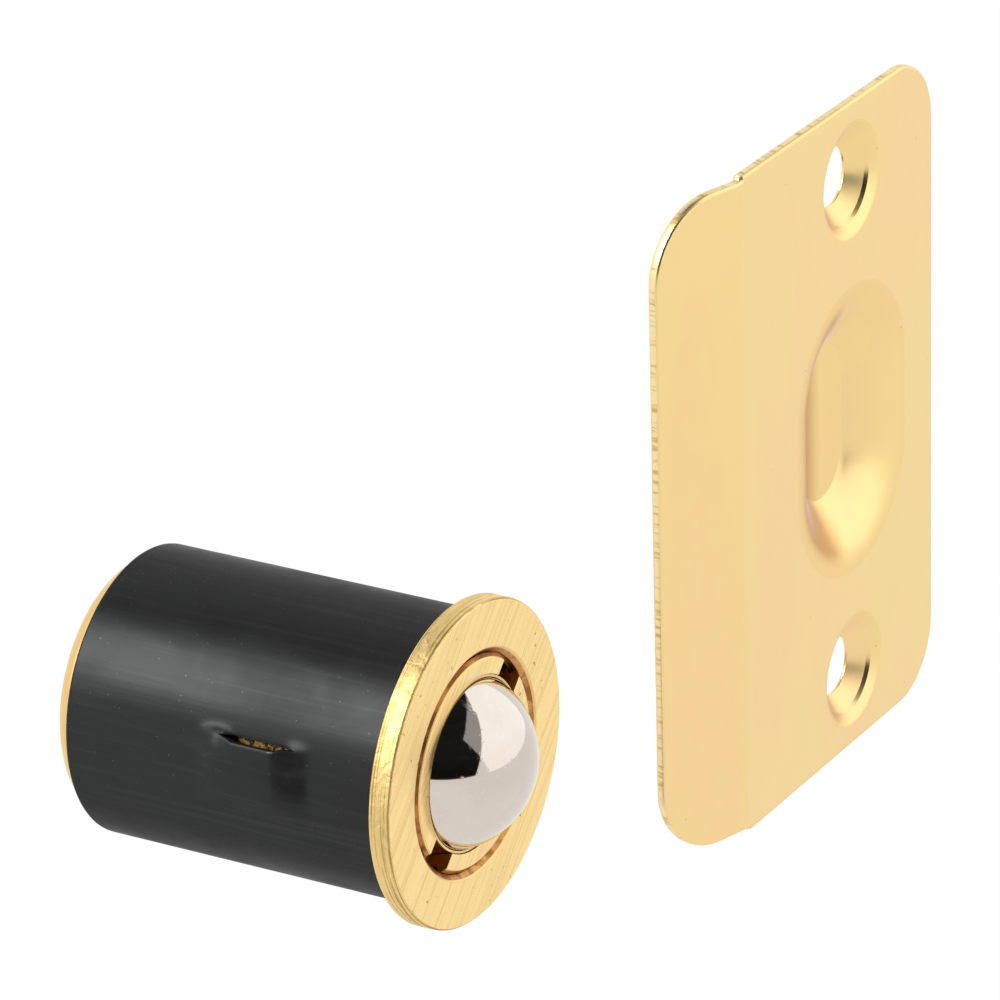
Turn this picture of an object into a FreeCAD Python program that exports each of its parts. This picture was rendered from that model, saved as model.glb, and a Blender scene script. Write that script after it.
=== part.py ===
import FreeCAD, Part
import math
import os

# Adjustable drive-in ball catch with its full lip strike, in millimetres.
# The barrel's axis is X and the ball looks along +X. Z is up.
# The origin is where the barrel's axis meets the flange's seating face.

# Ball and the cup that carries it
ball_radius = 7.9375
ball_projection = 4.85
ball_gap = 0.06
cup_wall = 0.45
cup_depth = 21.0
cup_floor = 1.2
cup_inner_corner = 0.8
lip_tip_wall = 0.2
lip_setback = 0.12
lip_middle = 0.6
shoulder_thickness = 0.8

# Slotted ring that screws into the case
ring_wall = 0.95
ring_length = 5.0
ring_setback = 0.1
ring_gap = 0.08
ring_face_bevel = 0.25
ring_mouth_round = 0.1
ring_back_round = 0.2
slot_width = 3.5
slot_depth = 2.3
slot_angle = 44.0
slot_corner = 0.45
slot_count = 2
thread_gap = 0.08

# Flanged brass case
case_wall = 2.1925
case_floor = 1.6
case_tail = 2.05
case_tail_corner = 2.0
case_mouth_bevel = 0.55
flange_overhang = 1.5875
flange_thickness = 2.0
flange_front_bevel = 0.28
flange_back_bevel = 0.15
seat_shoulder = 0.3

# Black outer sleeve with its lanced barbs
sleeve_gap = 0.05
sleeve_wall = 0.9
sleeve_length = 30.6
sleeve_edge = 0.3
barb_count = 2
barb_slit_angle = 160.5
barb_hinge_angle = 192.0
barb_lift = 1.15
barb_slit_opening = 2.4
barb_rear_shoulder = 1.2
barb_pad_length = 6.0
barb_front_shoulder = 3.9
barb_from_flange = 6.4

# Coil spring behind the ball
spring_wire_radius = 0.6
spring_coil_radius = 5.2
spring_turns = 5.5
spring_runs_per_turn = 10
spring_end_gap = 0.1

# Strike plate, a formed sheet that stands apart from the barrel
strike_sheet = 1.0
strike_height = 57.15
strike_width = 33.0
strike_corner = 6.0
strike_edge_round = 0.3
strike_face_x = 29.1
strike_bend_y = -2.05
strike_bottom_z = 0.9
lip_length = 8.85
lip_angle = 16.0
lip_corner = 6.5
lip_step = 0.35
bend_radius = 3.0

# Formed features of the strike, measured from its bend and its ends
feature_line = 18.45
pocket_depth = 3.0
pocket_rim_radius = 8.1
pocket_floor_radius = 3.7
pocket_half_straight = 3.1
pocket_rim_round = 2.0
pocket_floor_round = 0.5
hole_from_end = 6.73
hole_radius = 2.5
hole_land = 0.4
boss_round = 0.3
flare_radius = 4.9
flare_depth = 0.6
flare_round = 0.9
cone_radius = 3.75
cone_depth = 1.3

# How far a cutting shape stands clear of what it cuts
tool_reach = 1.0

# Radii from the ball outwards
cup_bore = ball_radius + ball_gap
cup_radius = cup_bore + cup_wall
ring_bore = cup_radius + ring_gap
ring_radius = ring_bore + ring_wall
case_bore = ring_radius + thread_gap
case_radius = case_bore + case_wall
sleeve_bore = case_radius + sleeve_gap
sleeve_radius = sleeve_bore + sleeve_wall
flange_radius = sleeve_radius + flange_overhang

# Stations along the axis
flange_face = flange_thickness
ball_x = flange_face + ball_projection - ball_radius
ring_face = flange_face - ring_setback
ring_back = ring_face - ring_length
lip_tip = ring_face - lip_setback
lip_cone_back = ball_x + cup_wall
cup_back = ring_face - cup_depth - cup_floor
sleeve_front = -seat_shoulder
sleeve_back = sleeve_front - sleeve_length
case_back = sleeve_back - case_tail

axis_x = FreeCAD.Vector(1, 0, 0)
origin = FreeCAD.Vector(0, 0, 0)


def corner(x, r, round_radius=0.0):
    # one corner of a profile: place along the axis, distance from it, rounding
    return (FreeCAD.Vector(x, r, 0), round_radius)


def rounded_wire(corners):
    # closed wire through the corners, with a tangent arc at each rounded one
    ends = []
    arcs = []
    count = len(corners)
    for i in range(count):
        here, radius = corners[i]
        before = (corners[i - 1][0] - here).normalize()
        after = (corners[(i + 1) % count][0] - here).normalize()
        if radius <= 0.0:
            ends.append((here, here))
            arcs.append(None)
            continue
        opening = before.getAngle(after)
        reach = radius / math.tan(opening / 2.0)
        middle = (before + after).normalize()
        centre = here + middle * (radius / math.sin(opening / 2.0))
        ends.append((here + before * reach, here + after * reach))
        arcs.append(centre - middle * radius)
    edges = []
    for i in range(count):
        start, finish = ends[i]
        if arcs[i] is not None:
            edges.append(Part.Arc(start, arcs[i], finish).toShape())
        following = ends[(i + 1) % count][0]
        if finish.distanceToPoint(following) > 1e-6:
            edges.append(Part.LineSegment(finish, following).toShape())
    return Part.Wire(edges)


def turned(corners, degrees=360.0, base=origin):
    # solid of revolution about a line along X through the base point
    face = Part.Face(rounded_wire(corners))
    face.translate(base)
    return face.revolve(base, axis_x, degrees)


def wall_offset(thickness, turn):
    # how far a sheet's inner corner lies from its outer one, for a given turn
    return thickness * math.tan(turn / 2.0)


def ball():
    return Part.makeSphere(ball_radius, FreeCAD.Vector(ball_x, 0, 0))


def lip_bore_at(x):
    # inner radius of the cup's lip, which follows the ball
    return math.sqrt(cup_bore ** 2 - (x - ball_x) ** 2)


def ball_cup():
    # thin cup whose mouth is rolled over the ball, with a shoulder behind the ring
    tip_bore = lip_bore_at(lip_tip)
    halfway = ball_x + (lip_tip - ball_x) * lip_middle
    bore_start = FreeCAD.Vector(ball_x, cup_bore, 0)
    bore_middle = FreeCAD.Vector(halfway, lip_bore_at(halfway), 0)
    bore_tip = FreeCAD.Vector(lip_tip, tip_bore, 0)
    outer_tip = FreeCAD.Vector(lip_tip, tip_bore + lip_tip_wall, 0)
    outer_turn = FreeCAD.Vector(lip_cone_back, cup_radius, 0)
    shoulder_front = ring_back - ring_gap
    shoulder_back = shoulder_front - shoulder_thickness
    shoulder_radius = ring_radius
    floor_front = cup_back + cup_floor
    rest = [
        outer_tip,
        outer_turn,
        FreeCAD.Vector(shoulder_front, cup_radius, 0),
        FreeCAD.Vector(shoulder_front, shoulder_radius, 0),
        FreeCAD.Vector(shoulder_back, shoulder_radius, 0),
        FreeCAD.Vector(shoulder_back, cup_radius, 0),
        FreeCAD.Vector(cup_back, cup_radius, 0),
        FreeCAD.Vector(cup_back, 0, 0),
        FreeCAD.Vector(floor_front, 0, 0),
        FreeCAD.Vector(floor_front, cup_bore - cup_inner_corner, 0),
    ]
    corner_middle = FreeCAD.Vector(
        floor_front + cup_inner_corner * (1.0 - math.cos(math.pi / 4.0)),
        cup_bore - cup_inner_corner * (1.0 - math.sin(math.pi / 4.0)),
        0,
    )
    corner_end = FreeCAD.Vector(floor_front + cup_inner_corner, cup_bore, 0)
    edges = [Part.Arc(bore_start, bore_middle, bore_tip).toShape()]
    points = [bore_tip] + rest
    for start, finish in zip(points, points[1:]):
        edges.append(Part.LineSegment(start, finish).toShape())
    edges.append(Part.Arc(rest[-1], corner_middle, corner_end).toShape())
    edges.append(Part.LineSegment(corner_end, bore_start).toShape())
    return Part.Face(Part.Wire(edges)).revolve(origin, axis_x, 360.0)


def adjusting_ring():
    # ring screwed into the case; its mouth is coned to hold the cup's rolled lip
    cone_front = lip_bore_at(lip_tip) + lip_tip_wall + ring_gap
    slope = (cup_radius - lip_bore_at(lip_tip) - lip_tip_wall) / (lip_tip - lip_cone_back)
    mouth = cone_front - slope * (ring_face - lip_tip)
    ring = turned([
        corner(ring_back, ring_bore, 0.0),
        corner(lip_cone_back, ring_bore, 0.0),
        corner(ring_face, mouth, ring_mouth_round),
        corner(ring_face, ring_radius - ring_face_bevel),
        corner(ring_face - ring_face_bevel, ring_radius),
        corner(ring_back, ring_radius, ring_back_round),
    ])
    length = slot_depth + tool_reach
    reach = ring_radius + tool_reach
    slots = []
    for i in range(slot_count):
        slot = Part.makeBox(length, reach, slot_width)
        slot.translate(FreeCAD.Vector(ring_face - slot_depth, 0, -slot_width / 2.0))
        slot.rotate(origin, axis_x, slot_angle + i * 360.0 / slot_count)
        slots.append(slot)
    ring = ring.cut(slots)
    return round_slot_corners(ring)


def round_slot_corners(ring):
    # round the upright outer corners that the slots leave on the ring
    corners = []
    for edge in ring.Edges:
        box = edge.BoundBox
        if edge.Curve.TypeId != "Part::GeomLine" or box.XLength < slot_depth / 2.0:
            continue
        if abs(box.XLength - edge.Length) > 1e-4:
            continue
        corners.append(edge)
    return ring.makeFillet(slot_corner, corners)


def flanged_case():
    # turned cup with a flange, a threaded bore and a rounded closed end
    return turned([
        corner(case_back, 0),
        corner(case_back, case_radius, case_tail_corner),
        corner(sleeve_front, case_radius),
        corner(sleeve_front, sleeve_radius),
        corner(0, sleeve_radius),
        corner(0, flange_radius, flange_back_bevel),
        corner(flange_face, flange_radius, flange_front_bevel),
        corner(flange_face, case_bore + case_mouth_bevel),
        corner(flange_face - case_mouth_bevel, case_bore),
        corner(case_back + case_floor, case_bore, case_tail_corner / 2.0),
        corner(case_back + case_floor, 0),
    ])


def sleeve_sector(front, back, angle_from, angle_to):
    # piece of the sleeve's wall between two angles and two stations
    wall = Part.makePlane(
        front - back, sleeve_wall,
        FreeCAD.Vector(back, sleeve_bore, 0), FreeCAD.Vector(0, 0, 1))
    sector = wall.revolve(origin, axis_x, angle_to - angle_from)
    sector.rotate(origin, axis_x, angle_from)
    return sector


def wall_section(x, share):
    # the barb's cross-section at x: flush at its hinge line, lifted and opened at its slit
    lift = barb_lift * share
    slit = math.radians(barb_slit_angle + barb_slit_opening * share)
    hinge = math.radians(barb_hinge_angle)
    middle = (slit + hinge) / 2.0

    def at(radius, angle):
        return FreeCAD.Vector(x, radius * math.cos(angle), radius * math.sin(angle))

    def curve(radius):
        start = at(radius + lift, slit)
        return Part.Arc(start, at(radius + lift / 2.0, middle), at(radius, hinge)).toShape()

    return Part.Wire([
        curve(sleeve_radius),
        Part.LineSegment(at(sleeve_radius, hinge), at(sleeve_bore, hinge)).toShape(),
        curve(sleeve_bore),
        Part.LineSegment(at(sleeve_bore + lift, slit), at(sleeve_radius + lift, slit)).toShape(),
    ])


def barb():
    # flap lanced along one edge and pushed outwards, with a shoulder at each end
    front = -barb_from_flange
    pad_front = front - barb_front_shoulder
    pad_back = pad_front - barb_pad_length
    back = pad_back - barb_rear_shoulder
    sections = [
        wall_section(front, 0.0),
        wall_section(pad_front, 1.0),
        wall_section(pad_back, 1.0),
        wall_section(back, 0.0),
    ]
    return Part.makeLoft(sections, True, True)


def outer_sleeve():
    sleeve = turned([
        corner(sleeve_back, sleeve_bore),
        corner(sleeve_front, sleeve_bore),
        corner(sleeve_front, sleeve_radius),
        corner(sleeve_back, sleeve_radius, sleeve_edge),
    ])
    front = -barb_from_flange
    back = front - barb_front_shoulder - barb_pad_length - barb_rear_shoulder
    window = sleeve_sector(front, back, barb_slit_angle, barb_hinge_angle)
    flap = barb()
    for i in range(barb_count):
        turn = i * 360.0 / barb_count
        opening = window.copy()
        opening.rotate(origin, axis_x, turn)
        lanced = flap.copy()
        lanced.rotate(origin, axis_x, turn)
        sleeve = sleeve.cut(opening).fuse(lanced)
    return sleeve.removeSplitter()


def ball_spring():
    # compression spring between the cup's floor and the back of the ball
    seat = cup_back + cup_floor + spring_end_gap + spring_wire_radius
    reach = ball_radius + spring_end_gap + spring_wire_radius
    contact = ball_x - math.sqrt(reach ** 2 - spring_coil_radius ** 2)
    runs = round(spring_turns * spring_runs_per_turn)
    points = []
    for i in range(runs + 1):
        angle = 2.0 * math.pi * i / spring_runs_per_turn
        points.append(FreeCAD.Vector(
            seat + (contact - seat) * i / runs,
            spring_coil_radius * math.cos(angle),
            spring_coil_radius * math.sin(angle)))
    section = Part.Wire(Part.makeCircle(spring_wire_radius, points[0], points[1] - points[0]))
    mitred = 1
    return Part.makePolygon(points).makePipeShell([section], True, False, mitred)


def flat_piece(width, inset, radius):
    # flat sheet from the bend outwards, its far corners rounded, its front rim softened
    sheet = Part.makeBox(
        strike_sheet, width, strike_height - 2.0 * inset,
        FreeCAD.Vector(-strike_sheet, 0, inset))
    corners = []
    for edge in sheet.Edges:
        if edge.BoundBox.XLength > strike_sheet / 2.0 and edge.CenterOfMass.y > width / 2.0:
            corners.append(edge)
    sheet = sheet.makeFillet(radius, corners)
    rim = []
    for edge in sheet.Edges:
        in_front = edge.BoundBox.XMin > -strike_sheet / 2.0
        if in_front and edge.BoundBox.YMax > strike_sheet / 2.0:
            rim.append(edge)
    return sheet.makeFillet(strike_edge_round, rim)


def bend_piece(outer_radius):
    # the curved stretch between plate and lip, as high as the lip
    section = Part.Face(rounded_wire([
        corner(-strike_sheet, lip_step),
        corner(0, lip_step, strike_edge_round),
        corner(0, strike_height - lip_step, strike_edge_round),
        corner(-strike_sheet, strike_height - lip_step),
    ]))
    section.rotate(origin, axis_x, 90.0)
    centre = FreeCAD.Vector(-outer_radius, 0, 0)
    return section.revolve(centre, FreeCAD.Vector(0, 0, 1), -lip_angle)


def strike_blank():
    # plate, bend and lip as one sheet, with the bend starting at y = 0
    outer_radius = bend_radius + strike_sheet
    plate = flat_piece(strike_width, 0.0, strike_corner)
    lip = flat_piece(lip_length, lip_step, lip_corner)
    lip = lip.mirror(origin, FreeCAD.Vector(0, 1, 0))
    lip.rotate(FreeCAD.Vector(-outer_radius, 0, 0), FreeCAD.Vector(0, 0, 1), -lip_angle)
    return plate.fuse([bend_piece(outer_radius), lip]).removeSplitter()


def pocket_shape(corners):
    # the corners swept round an upright slot: two half turns and the run between
    low = FreeCAD.Vector(0, feature_line, strike_height / 2.0 - pocket_half_straight)
    high = FreeCAD.Vector(0, feature_line, strike_height / 2.0 + pocket_half_straight)
    top = turned(corners, 180.0, high)
    bottom = turned(corners, -180.0, low)
    half = Part.Face(rounded_wire(corners))
    other = half.mirror(origin, FreeCAD.Vector(0, 1, 0))
    run = FreeCAD.Vector(0, 0, 2.0 * pocket_half_straight)
    sides = []
    for side in (half, other):
        side.translate(low)
        sides.append(side.extrude(run))
    return top.fuse([bottom] + sides).removeSplitter()


def pocket_tools():
    # what the pocket adds behind the sheet, and what it takes out in front
    turn = math.atan2(pocket_depth, pocket_rim_radius - pocket_floor_radius)
    shift = wall_offset(strike_sheet, turn)
    added = pocket_shape([
        corner(-pocket_depth - strike_sheet, 0),
        corner(-pocket_depth - strike_sheet, pocket_floor_radius + shift,
               pocket_floor_round + strike_sheet),
        corner(-strike_sheet, pocket_rim_radius + shift, pocket_rim_round - strike_sheet),
        corner(-strike_sheet, pocket_rim_radius + pocket_rim_round + shift),
        corner(-strike_sheet / 2.0, pocket_rim_radius + pocket_rim_round + shift),
        corner(-strike_sheet / 2.0, 0),
    ])
    taken = pocket_shape([
        corner(-pocket_depth, 0),
        corner(-pocket_depth, pocket_floor_radius, pocket_floor_round),
        corner(0, pocket_rim_radius, pocket_rim_round),
        corner(0, pocket_rim_radius + pocket_rim_round),
        corner(strike_sheet, pocket_rim_radius + pocket_rim_round),
        corner(strike_sheet, 0),
    ])
    return added, taken


def hole_tools(z):
    # the dimpled screw hole: its boss behind the sheet and its flared opening
    place = FreeCAD.Vector(0, feature_line, z)
    total = flare_depth + cone_depth
    back = total + hole_land
    flare_turn = math.atan2(flare_depth, flare_radius - cone_radius)
    flare_shift = wall_offset(strike_sheet, flare_turn)
    boss_foot = flare_radius + flare_shift
    boss_top = hole_radius + strike_sheet
    added = turned([
        corner(-back, 0),
        corner(-back, boss_top, boss_round),
        corner(-strike_sheet, boss_foot, boss_round),
        corner(-strike_sheet, boss_foot + strike_sheet),
        corner(-strike_sheet / 2.0, boss_foot + strike_sheet),
        corner(-strike_sheet / 2.0, 0),
    ], 360.0, place)
    taken = turned([
        corner(-back - strike_sheet, 0),
        corner(-back - strike_sheet, hole_radius),
        corner(-total, hole_radius),
        corner(-flare_depth, cone_radius),
        corner(0, flare_radius, flare_round),
        corner(0, flare_radius + strike_sheet),
        corner(strike_sheet, flare_radius + strike_sheet),
        corner(strike_sheet, 0),
    ], 360.0, place)
    return added, taken


def strike_plate():
    plate = strike_blank()
    tools = [pocket_tools()]
    for z in (hole_from_end, strike_height - hole_from_end):
        tools.append(hole_tools(z))
    plate = plate.fuse([added for added, taken in tools])
    plate = plate.cut([taken for added, taken in tools])
    plate = plate.removeSplitter()
    plate.translate(FreeCAD.Vector(strike_face_x, strike_bend_y, strike_bottom_z))
    return plate


def main():
    os.makedirs("parts", exist_ok=True)
    pieces = {
        "outer_sleeve": outer_sleeve,
        "flanged_case": flanged_case,
        "adjusting_ring": adjusting_ring,
        "ball_cup": ball_cup,
        "ball": ball,
        "ball_spring": ball_spring,
        "strike_plate": strike_plate,
    }
    for name, make in pieces.items():
        shape = make()
        print(name, "solids", len(shape.Solids), "valid", shape.isValid(),
              "volume", round(shape.Volume, 2))
        shape.exportStep(os.path.join("parts", name + ".step"))


main()
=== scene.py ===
import bpy
import bmesh
import math
from mathutils import Matrix, Vector


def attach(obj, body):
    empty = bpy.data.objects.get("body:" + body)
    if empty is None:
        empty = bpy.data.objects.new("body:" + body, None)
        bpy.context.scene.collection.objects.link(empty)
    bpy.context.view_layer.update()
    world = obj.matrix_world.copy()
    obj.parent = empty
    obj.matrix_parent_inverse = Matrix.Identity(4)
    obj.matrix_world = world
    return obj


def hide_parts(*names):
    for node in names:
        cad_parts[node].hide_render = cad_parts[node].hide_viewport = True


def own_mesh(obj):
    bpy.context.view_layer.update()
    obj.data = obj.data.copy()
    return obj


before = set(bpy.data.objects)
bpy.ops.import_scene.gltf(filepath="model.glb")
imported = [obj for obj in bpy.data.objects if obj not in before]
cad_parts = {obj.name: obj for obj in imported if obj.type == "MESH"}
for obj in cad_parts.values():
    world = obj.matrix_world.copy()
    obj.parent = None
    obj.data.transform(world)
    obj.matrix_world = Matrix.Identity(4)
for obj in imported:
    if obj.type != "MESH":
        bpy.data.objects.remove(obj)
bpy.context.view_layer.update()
mm = 0.001
print("frame loaded")


# the few moves that every piece is made with

def clearSelection():
    # nothing stays selected, so an operator only reaches the new piece
    if bpy.context.mode != "OBJECT":
        bpy.ops.object.mode_set(mode="OBJECT")
    bpy.ops.object.select_all(action="DESELECT")


def chooseOnly(piece):
    clearSelection()
    piece.select_set(True)
    bpy.context.view_layer.objects.active = piece


def openPiece(name):
    # names the new primitive, sets its place into its mesh and opens it
    piece = bpy.context.object
    piece.name = name
    piece.data.name = name
    bpy.ops.object.transform_apply(location=True, rotation=True, scale=True)
    bpy.ops.object.mode_set(mode="EDIT")
    bpy.ops.mesh.select_mode(type="VERT")
    return piece


def selectAll():
    # opens the piece where it is closed and selects the whole of it
    bpy.ops.object.mode_set(mode="EDIT")
    bpy.ops.mesh.select_all(action="SELECT")


def startPicking(kind):
    # nothing selected yet, in the mode for points, edges or faces
    bpy.ops.mesh.select_mode(type=kind)
    bpy.ops.mesh.select_all(action="DESELECT")
    return bmesh.from_edit_mesh(bpy.context.object.data)


def showPicked():
    bmesh.update_edit_mesh(bpy.context.object.data)


def pickPoints(test):
    # selects the points whose place, in millimetres, passes the test
    mesh = startPicking("VERT")
    for point in mesh.verts:
        point.select = test(point.co / mm)
    mesh.select_flush(True)
    showPicked()


def pickEdges(test, pairTest=None):
    # selects the edges whose two ends pass the test, and together the second one
    mesh = startPicking("EDGE")
    for edge in mesh.edges:
        first, last = (point.co / mm for point in edge.verts)
        both = test(first) and test(last)
        edge.select_set(both and (pairTest is None or pairTest(first, last)))
    showPicked()


def pickFaces(test):
    # selects the faces whose middle and normal pass the test
    mesh = startPicking("FACE")
    for face in mesh.faces:
        face.select_set(test(face.calc_center_median() / mm, face.normal))
    showPicked()


def selectedPoints():
    mesh = bmesh.from_edit_mesh(bpy.context.object.data)
    return {point.index for point in mesh.verts if point.select}


def keepPoints(chosen, test):
    # of the points in hand, selects those that pass the test
    mesh = bmesh.from_edit_mesh(bpy.context.object.data)
    for point in mesh.verts:
        point.select = point.index in chosen and test(point.co / mm)
    mesh.select_flush_mode()
    showPicked()


def radiusOf(point):
    return math.hypot(point.y, point.z)


def startTurning(name, sides, x, radius, filled=False):
    # a circle on the barrel's axis, its rim ready to be dragged along
    clearSelection()
    bpy.ops.mesh.primitive_circle_add(
        vertices=sides, radius=radius * mm, fill_type="TRIFAN" if filled else "NOTHING",
        location=(x * mm, 0, 0), rotation=(0, math.pi / 2, 0))
    piece = openPiece(name)
    pickPoints(lambda point: radiusOf(point) > radius / 2)
    return piece


def turnThrough(stations, start):
    # extrudes the rim to each station along the axis and scales it there
    x, radius = start
    for nextX, nextRadius in stations:
        bpy.ops.mesh.extrude_edges_move(
            TRANSFORM_OT_translate={"value": ((nextX - x) * mm, 0, 0)})
        scale = nextRadius / radius
        bpy.ops.transform.resize(value=(1, scale, scale), center_override=(nextX * mm, 0, 0))
        x, radius = nextX, nextRadius


def closeCentre():
    # draws the last rim together to one point
    bpy.ops.mesh.extrude_edges_move()
    bpy.ops.mesh.merge(type="CENTER")


def closeRound():
    # joins the last rim to the first and turns the faces outwards
    selectAll()
    bpy.ops.mesh.remove_doubles(threshold=1e-6)
    bpy.ops.mesh.normals_make_consistent(inside=False)


def roundTurnedEdge(x, radius, offset, steps):
    # bevels the whole circle that lies at this station and radius
    near = 0.004
    pickEdges(lambda point: abs(point.x - x) < near and abs(radiusOf(point) - radius) < near)
    bpy.ops.mesh.bevel(
        offset=offset * mm, offset_type="OFFSET", segments=steps, affect="EDGES",
        clamp_overlap=False)


def applyModifier(kind, **values):
    if bpy.context.mode != "OBJECT":
        bpy.ops.object.mode_set(mode="OBJECT")
    modifier = bpy.context.object.modifiers.new(kind.lower(), kind)
    for key, value in values.items():
        setattr(modifier, key, value)
    bpy.ops.object.modifier_apply(modifier=modifier.name)


def finishPiece(piece, body, nodes, angle=32):
    # smooth faces with crisp edges, then the piece takes its place in the frame
    chooseOnly(piece)
    bpy.ops.object.shade_smooth_by_angle(angle=math.radians(angle))
    applyModifier("WEIGHTED_NORMAL", keep_sharp=True)
    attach(piece, body)
    if nodes:
        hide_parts(*nodes)
    print(piece.name, "made with", len(piece.data.polygons), "faces")


# effects that several finishes share

def put(tree, kind, **settings):
    # a new node, to the right of the last one and a little lower
    node = tree.nodes.new(kind)
    step = len(tree.nodes)
    node.location = (200 * step, -140 * (step % 4))
    for key, value in settings.items():
        setattr(node, key, value)
    return node


def give(tree, socket, value):
    # an input gets a plain value or another node's output
    if isinstance(value, bpy.types.NodeSocket):
        tree.links.new(value, socket)
    elif socket.type == "RGBA":
        socket.default_value = tuple(value) + (1.0,)
    else:
        socket.default_value = value


def feed(tree, node, **values):
    # fills inputs by their names, with _ for a space, and hands on the outputs
    for label, value in values.items():
        give(tree, node.inputs[label.replace("_", " ")], value)
    return node.outputs


def combine(tree, operation, first, second):
    node = put(tree, "ShaderNodeMath", operation=operation)
    give(tree, node.inputs[0], first)
    give(tree, node.inputs[1], second)
    return node.outputs[0]


def ramp(tree, source, low, high, lowValue=0.0, highValue=1.0):
    # a value rising smoothly between two limits, as a mask
    node = put(tree, "ShaderNodeMapRange", interpolation_type="SMOOTHSTEP")
    return feed(tree, node, Value=source, From_Min=low, From_Max=high,
                To_Min=lowValue, To_Max=highValue)[0]


def blendColour(tree, mask, first, second):
    # one colour over another, each a plain value or another node's output
    node = put(tree, "ShaderNodeMix", data_type="RGBA")
    for key, value in ((0, mask), (6, first), (7, second)):
        give(tree, node.inputs[key], value)
    return node.outputs[2]


def bumpFrom(tree, height, strength, depth, **below):
    # raises the surface by a value, on top of the bump that is below it
    node = put(tree, "ShaderNodeBump")
    return feed(tree, node, Height=height, Strength=strength, Distance=depth, **below)[0]


def noiseOn(tree, vector, scale, detail, roughness, distortion=0.0):
    node = put(tree, "ShaderNodeTexNoise")
    return feed(tree, node, Vector=vector, Scale=scale, Detail=detail, Roughness=roughness,
                Distortion=distortion)["Fac"]


def turnedVector(tree, vector, **turns):
    return feed(tree, put(tree, "ShaderNodeMapping"), Vector=vector, **turns)[0]


def newEffect(name, inputs, outputs):
    # a node group with a vector, some named values and its named masks
    group = bpy.data.node_groups.new(name, "ShaderNodeTree")
    group.interface.new_socket(name="Vector", in_out="INPUT", socket_type="NodeSocketVector")
    for label, value in inputs.items():
        socket = group.interface.new_socket(
            name=label, in_out="INPUT", socket_type="NodeSocketFloat")
        socket.default_value = value
    for label in outputs:
        group.interface.new_socket(name=label, in_out="OUTPUT", socket_type="NodeSocketFloat")
    return group, put(group, "NodeGroupInput").outputs, put(group, "NodeGroupOutput")


def brushedLines():
    # fine straight marks along the vector's X, in two sizes
    group, ins, outs = newEffect(
        "brushedLines", {"Density": 9000.0, "Stretch": 40.0}, ("Lines", "Coarse"))
    along = combine(group, "DIVIDE", ins["Density"], ins["Stretch"])
    scale = feed(group, put(group, "ShaderNodeCombineXYZ"),
                 X=along, Y=ins["Density"], Z=ins["Density"])[0]
    across = put(group, "ShaderNodeVectorMath", operation="MULTIPLY")
    give(group, across.inputs[0], ins["Vector"])
    give(group, across.inputs[1], scale)
    feed(group, outs, Lines=noiseOn(group, across.outputs[0], 1.0, 3.0, 0.6),
         Coarse=noiseOn(group, across.outputs[0], 0.23, 2.0, 0.5))
    return group


def hairScratches():
    # sparse thin scratches in three directions
    group, ins, outs = newEffect("hairScratches", {"Scale": 900.0, "Limit": 0.7}, ("Mask",))
    upper = combine(group, "ADD", ins["Limit"], 0.05)
    joined = None
    for i, turn in enumerate(((0.4, 0.9, 0.2), (1.3, 0.3, 2.1), (0.2, 2.0, 1.1))):
        drawn = turnedVector(group, ins["Vector"], Rotation=turn, Scale=(0.05, 1.6, 1.6),
                             Location=(0.013 * i, 0.021 * i, 0.007 * i))
        marks = noiseOn(group, drawn, ins["Scale"], 1.5, 0.45)
        cut = feed(group, put(group, "ShaderNodeMapRange"), Value=marks,
                   From_Min=ins["Limit"], From_Max=upper)[0]
        joined = combine(group, "MAXIMUM", joined, cut) if joined else cut
    feed(group, outs, Mask=joined)
    return group


def dustSpecks():
    # tiny round specks in about one cell of seven
    group, ins, outs = newEffect("dustSpecks", {"Scale": 1500.0, "Size": 0.18}, ("Mask",))
    cells = feed(group, put(group, "ShaderNodeTexVoronoi"),
                 Vector=ins["Vector"], Scale=ins["Scale"])
    chance = feed(group, put(group, "ShaderNodeSeparateColor"), Color=cells["Color"])[0]
    near = combine(group, "LESS_THAN", cells["Distance"], ins["Size"])
    feed(group, outs, Mask=combine(group, "MULTIPLY", near, ramp(group, chance, 0.84, 0.86)))
    return group


def softMottle():
    # slow cloudy variation and its fine grain, as on plated or blackened metal
    group, ins, outs = newEffect("softMottle", {"Scale": 160.0}, ("Cloud", "Grain"))
    finer = combine(group, "MULTIPLY", ins["Scale"], 28.0)
    feed(group, outs, Cloud=noiseOn(group, ins["Vector"], ins["Scale"], 4.0, 0.55, 0.4),
         Grain=noiseOn(group, ins["Vector"], finer, 2.0, 0.6))
    return group


effects = {
    "brushedLines": brushedLines(),
    "hairScratches": hairScratches(),
    "dustSpecks": dustSpecks(),
    "softMottle": softMottle(),
}
noiseSpan = (0.3, 0.7)  # nearly all of a noise lies between these
print("shared effects built")


def newFinish(name):
    # a material with its shader and the object's own coordinates
    material = bpy.data.materials.new(name)
    material.use_nodes = True
    tree = material.node_tree
    place = put(tree, "ShaderNodeTexCoord").outputs["Object"]
    return material, tree, tree.nodes["Principled BSDF"], place


def useEffect(tree, name, vector, **values):
    node = put(tree, "ShaderNodeGroup", node_tree=effects[name])
    return feed(tree, node, Vector=vector, **values)


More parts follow.
